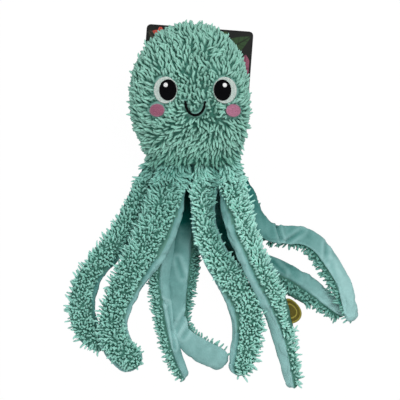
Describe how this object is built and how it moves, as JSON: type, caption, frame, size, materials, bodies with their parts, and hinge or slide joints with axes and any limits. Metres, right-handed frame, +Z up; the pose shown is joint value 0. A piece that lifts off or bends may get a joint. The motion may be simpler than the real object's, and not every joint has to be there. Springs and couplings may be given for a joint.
{
  "type": "plush octopus",
  "caption": "Soft octopus toy in looped-yarn and short-pile cloth, with stitched face, hinged arms, inner squeaker and a hang card.",
  "frame": {"origin": "centre of the hang card's back face, on the surface that the toy lies on", "axes": "+Z up from the surface towards the face's side, +Y towards the crown, +X to the right of someone who looks down at the face"},
  "size_m": [0.3185, 0.394, 0.0938],
  "materials": {
    "noodle_cloth": "matte",
    "smooth_plush": "matte",
    "fibre_fill": "matte",
    "white_thread": "satin",
    "black_thread": "satin",
    "pink_thread": "satin",
    "printed_card": "satin",
    "clear_nylon": "satin",
    "soft_vinyl": "satin",
    "olive_label": "satin"
  },
  "bodies": {
    "head": {"head_front_cover": "noodle_cloth", "head_back_cover": "noodle_cloth", "base_panel": "smooth_plush", "head_filling": "fibre_fill", "closing_wad": "fibre_fill", "squeaker_bulb": "soft_vinyl", "squeaker_reed": "clear_nylon", "card_tack": "clear_nylon", "left_eye_patch": "white_thread", "left_iris": "black_thread", "left_highlight": "white_thread", "left_cheek": "pink_thread", "right_eye_patch": "white_thread", "right_iris": "black_thread", "right_highlight": "white_thread", "right_cheek": "pink_thread", "mouth_stitch": "black_thread"},
    "card": {"hang_card": "printed_card"},
    "arm_1": {"arm_1_cover": "noodle_cloth", "arm_1_lining": "smooth_plush", "arm_1_filling": "fibre_fill"},
    "arm_2": {"arm_2_cover": "noodle_cloth", "arm_2_lining": "smooth_plush", "arm_2_filling": "fibre_fill"},
    "arm_3": {"arm_3_cover": "noodle_cloth", "arm_3_lining": "smooth_plush", "arm_3_filling": "fibre_fill"},
    "arm_4": {"arm_4_cover": "noodle_cloth", "arm_4_lining": "smooth_plush", "arm_4_filling": "fibre_fill"},
    "arm_5": {"arm_5_cover": "noodle_cloth", "arm_5_lining": "smooth_plush", "arm_5_filling": "fibre_fill"},
    "arm_6": {"arm_6_cover": "noodle_cloth", "arm_6_lining": "smooth_plush", "arm_6_filling": "fibre_fill"},
    "arm_7": {"arm_7_cover": "noodle_cloth", "arm_7_lining": "smooth_plush", "arm_7_filling": "fibre_fill"},
    "arm_8": {"arm_8_cover": "noodle_cloth", "arm_8_lining": "smooth_plush", "arm_8_filling": "fibre_fill"},
    "label": {"side_label": "olive_label"}
  },
  "joints": [
    {"name": "arm_1_swing", "type": "hinge", "parent": "head", "child": "arm_1", "pos_m": [-0.0476, -0.11871, 0.03213], "axis": [-0.8392, 0.5439, 0], "range_deg": [-60, 0]},
    {"name": "arm_2_swing", "type": "hinge", "parent": "head", "child": "arm_2", "pos_m": [-0.02555, -0.11857, 0.04605], "axis": [-0.9424, 0.3344, 0], "range_deg": [0, 75]},
    {"name": "arm_3_swing", "type": "hinge", "parent": "head", "child": "arm_3", "pos_m": [-0.02653, -0.11821, 0.01705], "axis": [-0.9661, 0.2583, 0], "range_deg": [-45, 0]},
    {"name": "arm_4_swing", "type": "hinge", "parent": "head", "child": "arm_4", "pos_m": [-0.00252, -0.11813, 0.01618], "axis": [-0.9901, 0.1401, 0], "range_deg": [-75, 0]},
    {"name": "arm_5_swing", "type": "hinge", "parent": "head", "child": "arm_5", "pos_m": [0.00924, -0.11813, 0.04692], "axis": [-0.9967, 0.0808, 0], "range_deg": [0, 75]},
    {"name": "arm_6_swing", "type": "hinge", "parent": "head", "child": "arm_6", "pos_m": [0.03423, -0.11832, 0.04257], "axis": [-0.9742, -0.2257, 0], "range_deg": [0, 50]},
    {"name": "arm_7_swing", "type": "hinge", "parent": "head", "child": "arm_7", "pos_m": [0.04207, -0.12, 0.02546], "axis": [0, 0, 1], "range_deg": [0, 60]},
    {"name": "arm_8_swing", "type": "hinge", "parent": "head", "child": "arm_8", "pos_m": [0.02051, -0.11816, 0.0156], "axis": [-0.983, -0.1835, 0], "range_deg": [-45, 0]},
    {"name": "label_flap", "type": "hinge", "parent": "arm_6", "child": "label", "pos_m": [0.10156, -0.2683, 0.01061], "axis": [0.2791, -0.9603, 0], "range_deg": [-20, 80]},
    {"name": "card_turn", "type": "hinge", "parent": "head", "child": "card", "pos_m": [-0.0084, -0.028, 0], "axis": [0, 0, 1], "range_deg": [-10, 10]}
  ]
}
